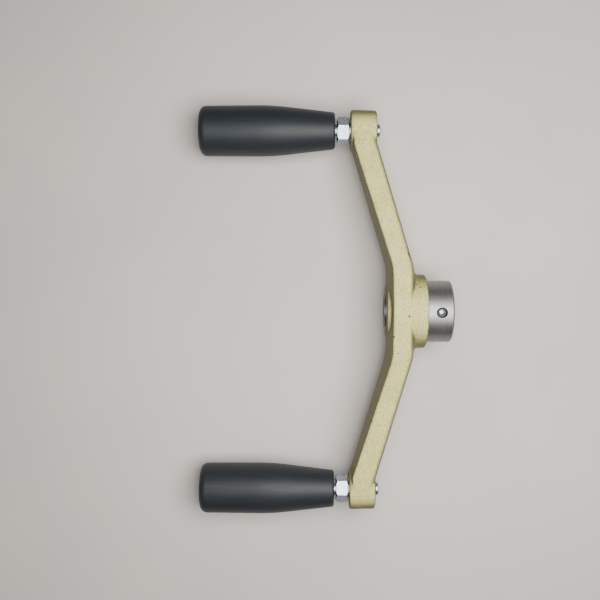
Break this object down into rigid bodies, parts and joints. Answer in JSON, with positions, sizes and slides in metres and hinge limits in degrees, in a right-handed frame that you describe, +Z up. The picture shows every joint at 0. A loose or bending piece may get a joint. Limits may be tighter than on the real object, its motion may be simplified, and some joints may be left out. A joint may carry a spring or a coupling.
{
  "type": "crank handle",
  "caption": "Two-armed cast crank with a bored steel hub sleeve, a radial set screw and a freely revolving grip at each arm's end, for winding a shaft by hand.",
  "frame": {"origin": "on the shaft bore's axis, at the free end face of the steel sleeve", "axes": "+X along the shaft bore, out of the hub on the sleeve's side; the arms run along +Y and -Y and the grips point to -X; +Z is up as the crank lies on a bench"},
  "size_m": [0.1487, 0.2438, 0.0448],
  "materials": {
    "casting_paint": "pale yellow-green paint over a rough sand casting",
    "turned_steel": "turned, bare",
    "zinc_steel": "bright zinc plate",
    "black_steel": "black oxide, oiled",
    "spring_steel": "phosphated spring steel",
    "grip_plastic": "satin moulded black"
  },
  "bodies": {
    "crank": {"crank_arm": "casting_paint", "hub_sleeve": "turned_steel", "set_screw": "black_steel", "spindle_a": "zinc_steel", "washer_a": "zinc_steel", "retaining_ring_a": "spring_steel", "spindle_b": "zinc_steel", "washer_b": "zinc_steel", "retaining_ring_b": "spring_steel"},
    "grip_a": {"grip_a": "grip_plastic", "end_cap_a": "grip_plastic"},
    "grip_b": {"grip_b": "grip_plastic", "end_cap_b": "grip_plastic"}
  },
  "joints": [
    {"name": "grip_a_spin", "type": "hinge", "parent": "crank", "child": "grip_a", "pos_m": [-0.1087, 0.107, 0], "axis": [1, 0, 0], "continuous": true},
    {"name": "grip_b_spin", "type": "hinge", "parent": "crank", "child": "grip_b", "pos_m": [-0.1087, -0.107, 0], "axis": [1, 0, 0], "continuous": true}
  ]
}
